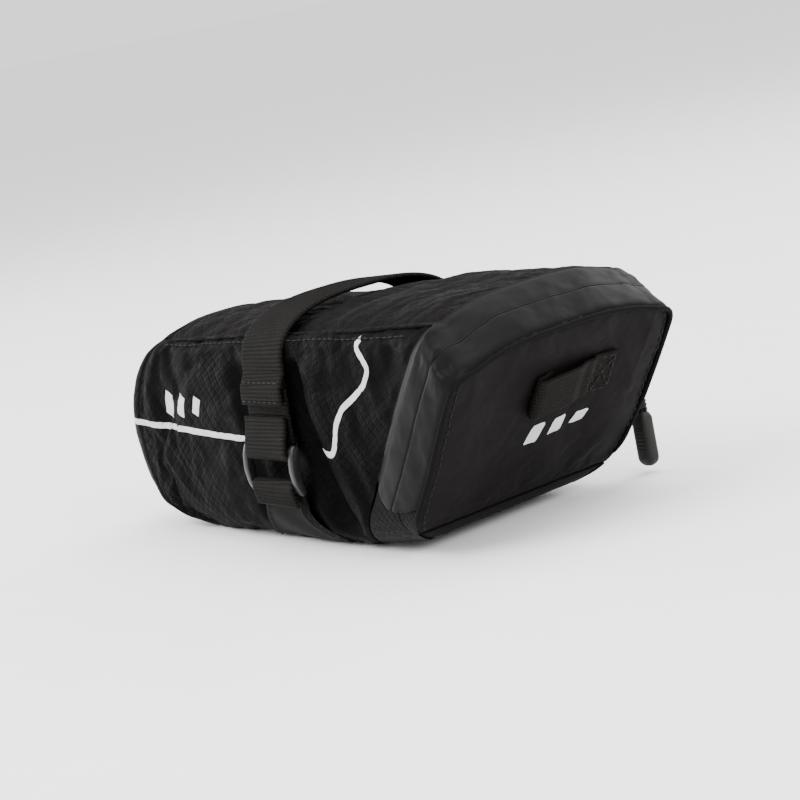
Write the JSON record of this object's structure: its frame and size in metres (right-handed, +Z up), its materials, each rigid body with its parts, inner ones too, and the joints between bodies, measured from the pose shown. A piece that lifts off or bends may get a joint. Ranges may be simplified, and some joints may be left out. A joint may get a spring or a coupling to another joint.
{
  "type": "bicycle saddle bag",
  "caption": "Wedge-shaped fabric saddle bag with a rear zipped flap, a compression strap over the top with ladder-lock buckles, and a light loop.",
  "frame": {"origin": "on the resting plane of the base, on the centre plane, forward of the rear panel", "axes": "+X towards the rear flap, -Y the bag's left side, +Z up"},
  "size_m": [0.2154, 0.1155, 0.0824],
  "materials": {
    "ripstop": "diamond ripstop, semi-matt",
    "top_fabric": "ripstop, semi-matt",
    "panel_fabric": "fine plain weave",
    "coated_band": "smooth coated film, satin",
    "zip_coil": "satin",
    "piping": "matt",
    "reflective": "retro-reflective print, satin",
    "webbing": "ribbed weave",
    "wing_fabric": "matt",
    "buckle_plastic": "satin",
    "slider_metal": "satin",
    "cord": "braided",
    "grip_rubber": "matt"
  },
  "bodies": {
    "bag": {"side_panel_left": "ripstop", "side_panel_right": "ripstop", "top_panel": "top_fabric", "bottom_panel": "ripstop", "nose_panel": "ripstop", "band_front": "coated_band", "zip_body": "zip_coil", "end_patch_left": "ripstop", "end_patch_right": "ripstop", "piping_top_left": "piping", "piping_top_right": "piping", "stripe_left": "reflective", "stripe_right": "reflective", "mark_left": "reflective", "mark_right": "reflective", "strap_over": "webbing", "adjuster_left": "webbing", "adjuster_right": "webbing", "lower_web_left": "webbing", "lower_web_right": "webbing", "wing_left": "wing_fabric", "wing_right": "wing_fabric", "buckle_left": "buckle_plastic", "buckle_right": "buckle_plastic"},
    "rear_flap": {"rear_panel": "panel_fabric", "band_rear": "coated_band", "zip_flap": "zip_coil", "gusset_left": "ripstop", "gusset_right": "ripstop", "rear_piping": "piping", "light_loop": "webbing", "rear_mark": "reflective"},
    "zip_slider": {"zip_slider": "slider_metal"},
    "zip_pull": {"pull_cord": "cord", "pull_grip": "grip_rubber"}
  },
  "joints": [
    {"name": "flap_hinge", "type": "hinge", "parent": "bag", "child": "rear_flap", "pos_m": [0.0494, 0, 0.0082], "axis": [0, 1, 0], "range_deg": [0, 50]},
    {"name": "slider_travel", "type": "slide", "parent": "bag", "child": "zip_slider", "axis": [0.5583, 0.04, 0.8287], "range_m": [0, 0.022]},
    {"name": "pull_swing", "type": "hinge", "parent": "zip_slider", "child": "zip_pull", "pos_m": [0.05297, 0.05201, 0.0291], "axis": [0.8292, 0, -0.5589], "range_deg": [-5, 75]}
  ]
}
